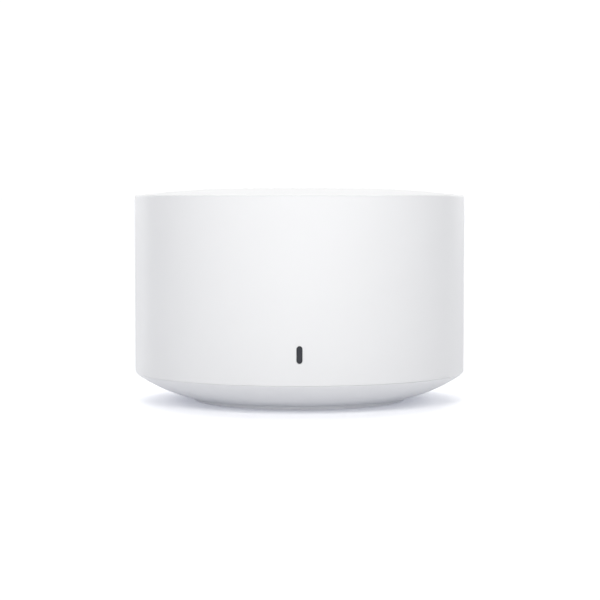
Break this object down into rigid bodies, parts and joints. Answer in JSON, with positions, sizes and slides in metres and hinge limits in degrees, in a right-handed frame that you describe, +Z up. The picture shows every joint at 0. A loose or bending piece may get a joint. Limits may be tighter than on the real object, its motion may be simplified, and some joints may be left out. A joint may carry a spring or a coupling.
{
  "type": "mesh wifi node",
  "caption": "Round table-top wireless mesh node with a plain white wall, shallow domed top, status light slot, rear port bay and a sprung pairing button.",
  "frame": {"origin": "centre of the foot ring's underside, on the surface it stands on", "axes": "+Z up; the status light faces -Y; the port bay faces +Y; +X to the right seen from the front"},
  "size_m": [0.106, 0.106, 0.0681],
  "materials": {
    "white_plastic": "fine even satin moulding, white",
    "base_plastic": "fine even satin moulding, cool white",
    "bay_plastic": "satin moulding, white",
    "foot_rubber": "matt white rubber",
    "label_film": "blank satin film",
    "smoked_window": "smoked, polished",
    "clear_plastic": "clear to milky",
    "black_rubber": "matt",
    "led_package": "phosphor under clear resin",
    "circuit_board": "green solder mask",
    "sheet_steel": "tinned, bright",
    "chip_black": "moulded epoxy",
    "inductor_grey": "pressed ferrite",
    "capacitor_alu": "sleeveless can",
    "passive_ceramic": "fired",
    "thermal_pad": "soft gap pad",
    "heat_sink_alu": "extruded, clear anodised",
    "screw_steel": "zinc plated",
    "socket_black": "glass-filled nylon",
    "contact_gold": "gold flash",
    "contact_nickel": "nickel plated",
    "button_plastic": "satin moulding, white",
    "plunger_plastic": "nylon",
    "carrier_plastic": "black moulding",
    "antenna_brass": "bright strip",
    "cable_jacket": "extruded jacket"
  },
  "bodies": {
    "housing": {"antenna_cables": "cable_jacket", "antenna_carrier": "carrier_plastic", "antenna_front": "antenna_brass", "antenna_left": "antenna_brass", "antenna_rear": "antenna_brass", "antenna_right": "antenna_brass", "base_shell": "base_plastic", "board_screws": "screw_steel", "bulk_capacitors": "capacitor_alu", "cable_plugs": "contact_gold", "cable_sockets": "contact_gold", "cpu_chip": "chip_black", "cpu_shield": "sheet_steel", "crystal_can": "sheet_steel", "flash_chip": "chip_black", "foot_ring": "foot_rubber", "heat_sink": "heat_sink_alu", "heat_sink_nuts": "screw_steel", "heat_sink_screws": "screw_steel", "heat_spreader": "heat_sink_alu", "housing_screws": "screw_steel", "lan_socket_contacts": "contact_gold", "lan_socket_insert": "socket_black", "lan_socket_shell": "sheet_steel", "led_emitter": "led_package", "led_window": "smoked_window", "light_guide": "clear_plastic", "light_seal": "black_rubber", "magnetics": "chip_black", "main_board": "circuit_board", "memory_chip": "chip_black", "outer_sleeve": "white_plastic", "pair_switch_body": "socket_black", "pair_switch_bracket": "sheet_steel", "port_bezel": "bay_plastic", "power_inductors": "inductor_grey", "power_inlet_housing": "socket_black", "power_inlet_leaf": "contact_nickel", "power_inlet_pin": "contact_nickel", "radio_chips": "chip_black", "radio_shield_left": "sheet_steel", "radio_shield_right": "sheet_steel", "rating_label": "label_film", "small_passives": "passive_ceramic", "switch_chip": "chip_black", "thermal_pads": "thermal_pad", "top_cover": "white_plastic", "wan_socket_contacts": "contact_gold", "wan_socket_insert": "socket_black", "wan_socket_shell": "sheet_steel"},
    "pair_button": {"pair_button": "button_plastic"},
    "switch_plunger": {"pair_switch_plunger": "plunger_plastic"}
  },
  "joints": [
    {"name": "pair_button_press", "type": "slide", "parent": "housing", "child": "pair_button", "axis": [0, -1, 0], "range_m": [0, 0.0005], "stiffness_N_per_m": 3000},
    {"name": "switch_plunger_slide", "type": "slide", "parent": "housing", "child": "switch_plunger", "axis": [0, -1, 0], "range_m": [0, 0.0005]}
  ],
  "couplings": [
    {"joint": "switch_plunger_slide", "follows": "pair_button_press", "ratio": 1}
  ]
}
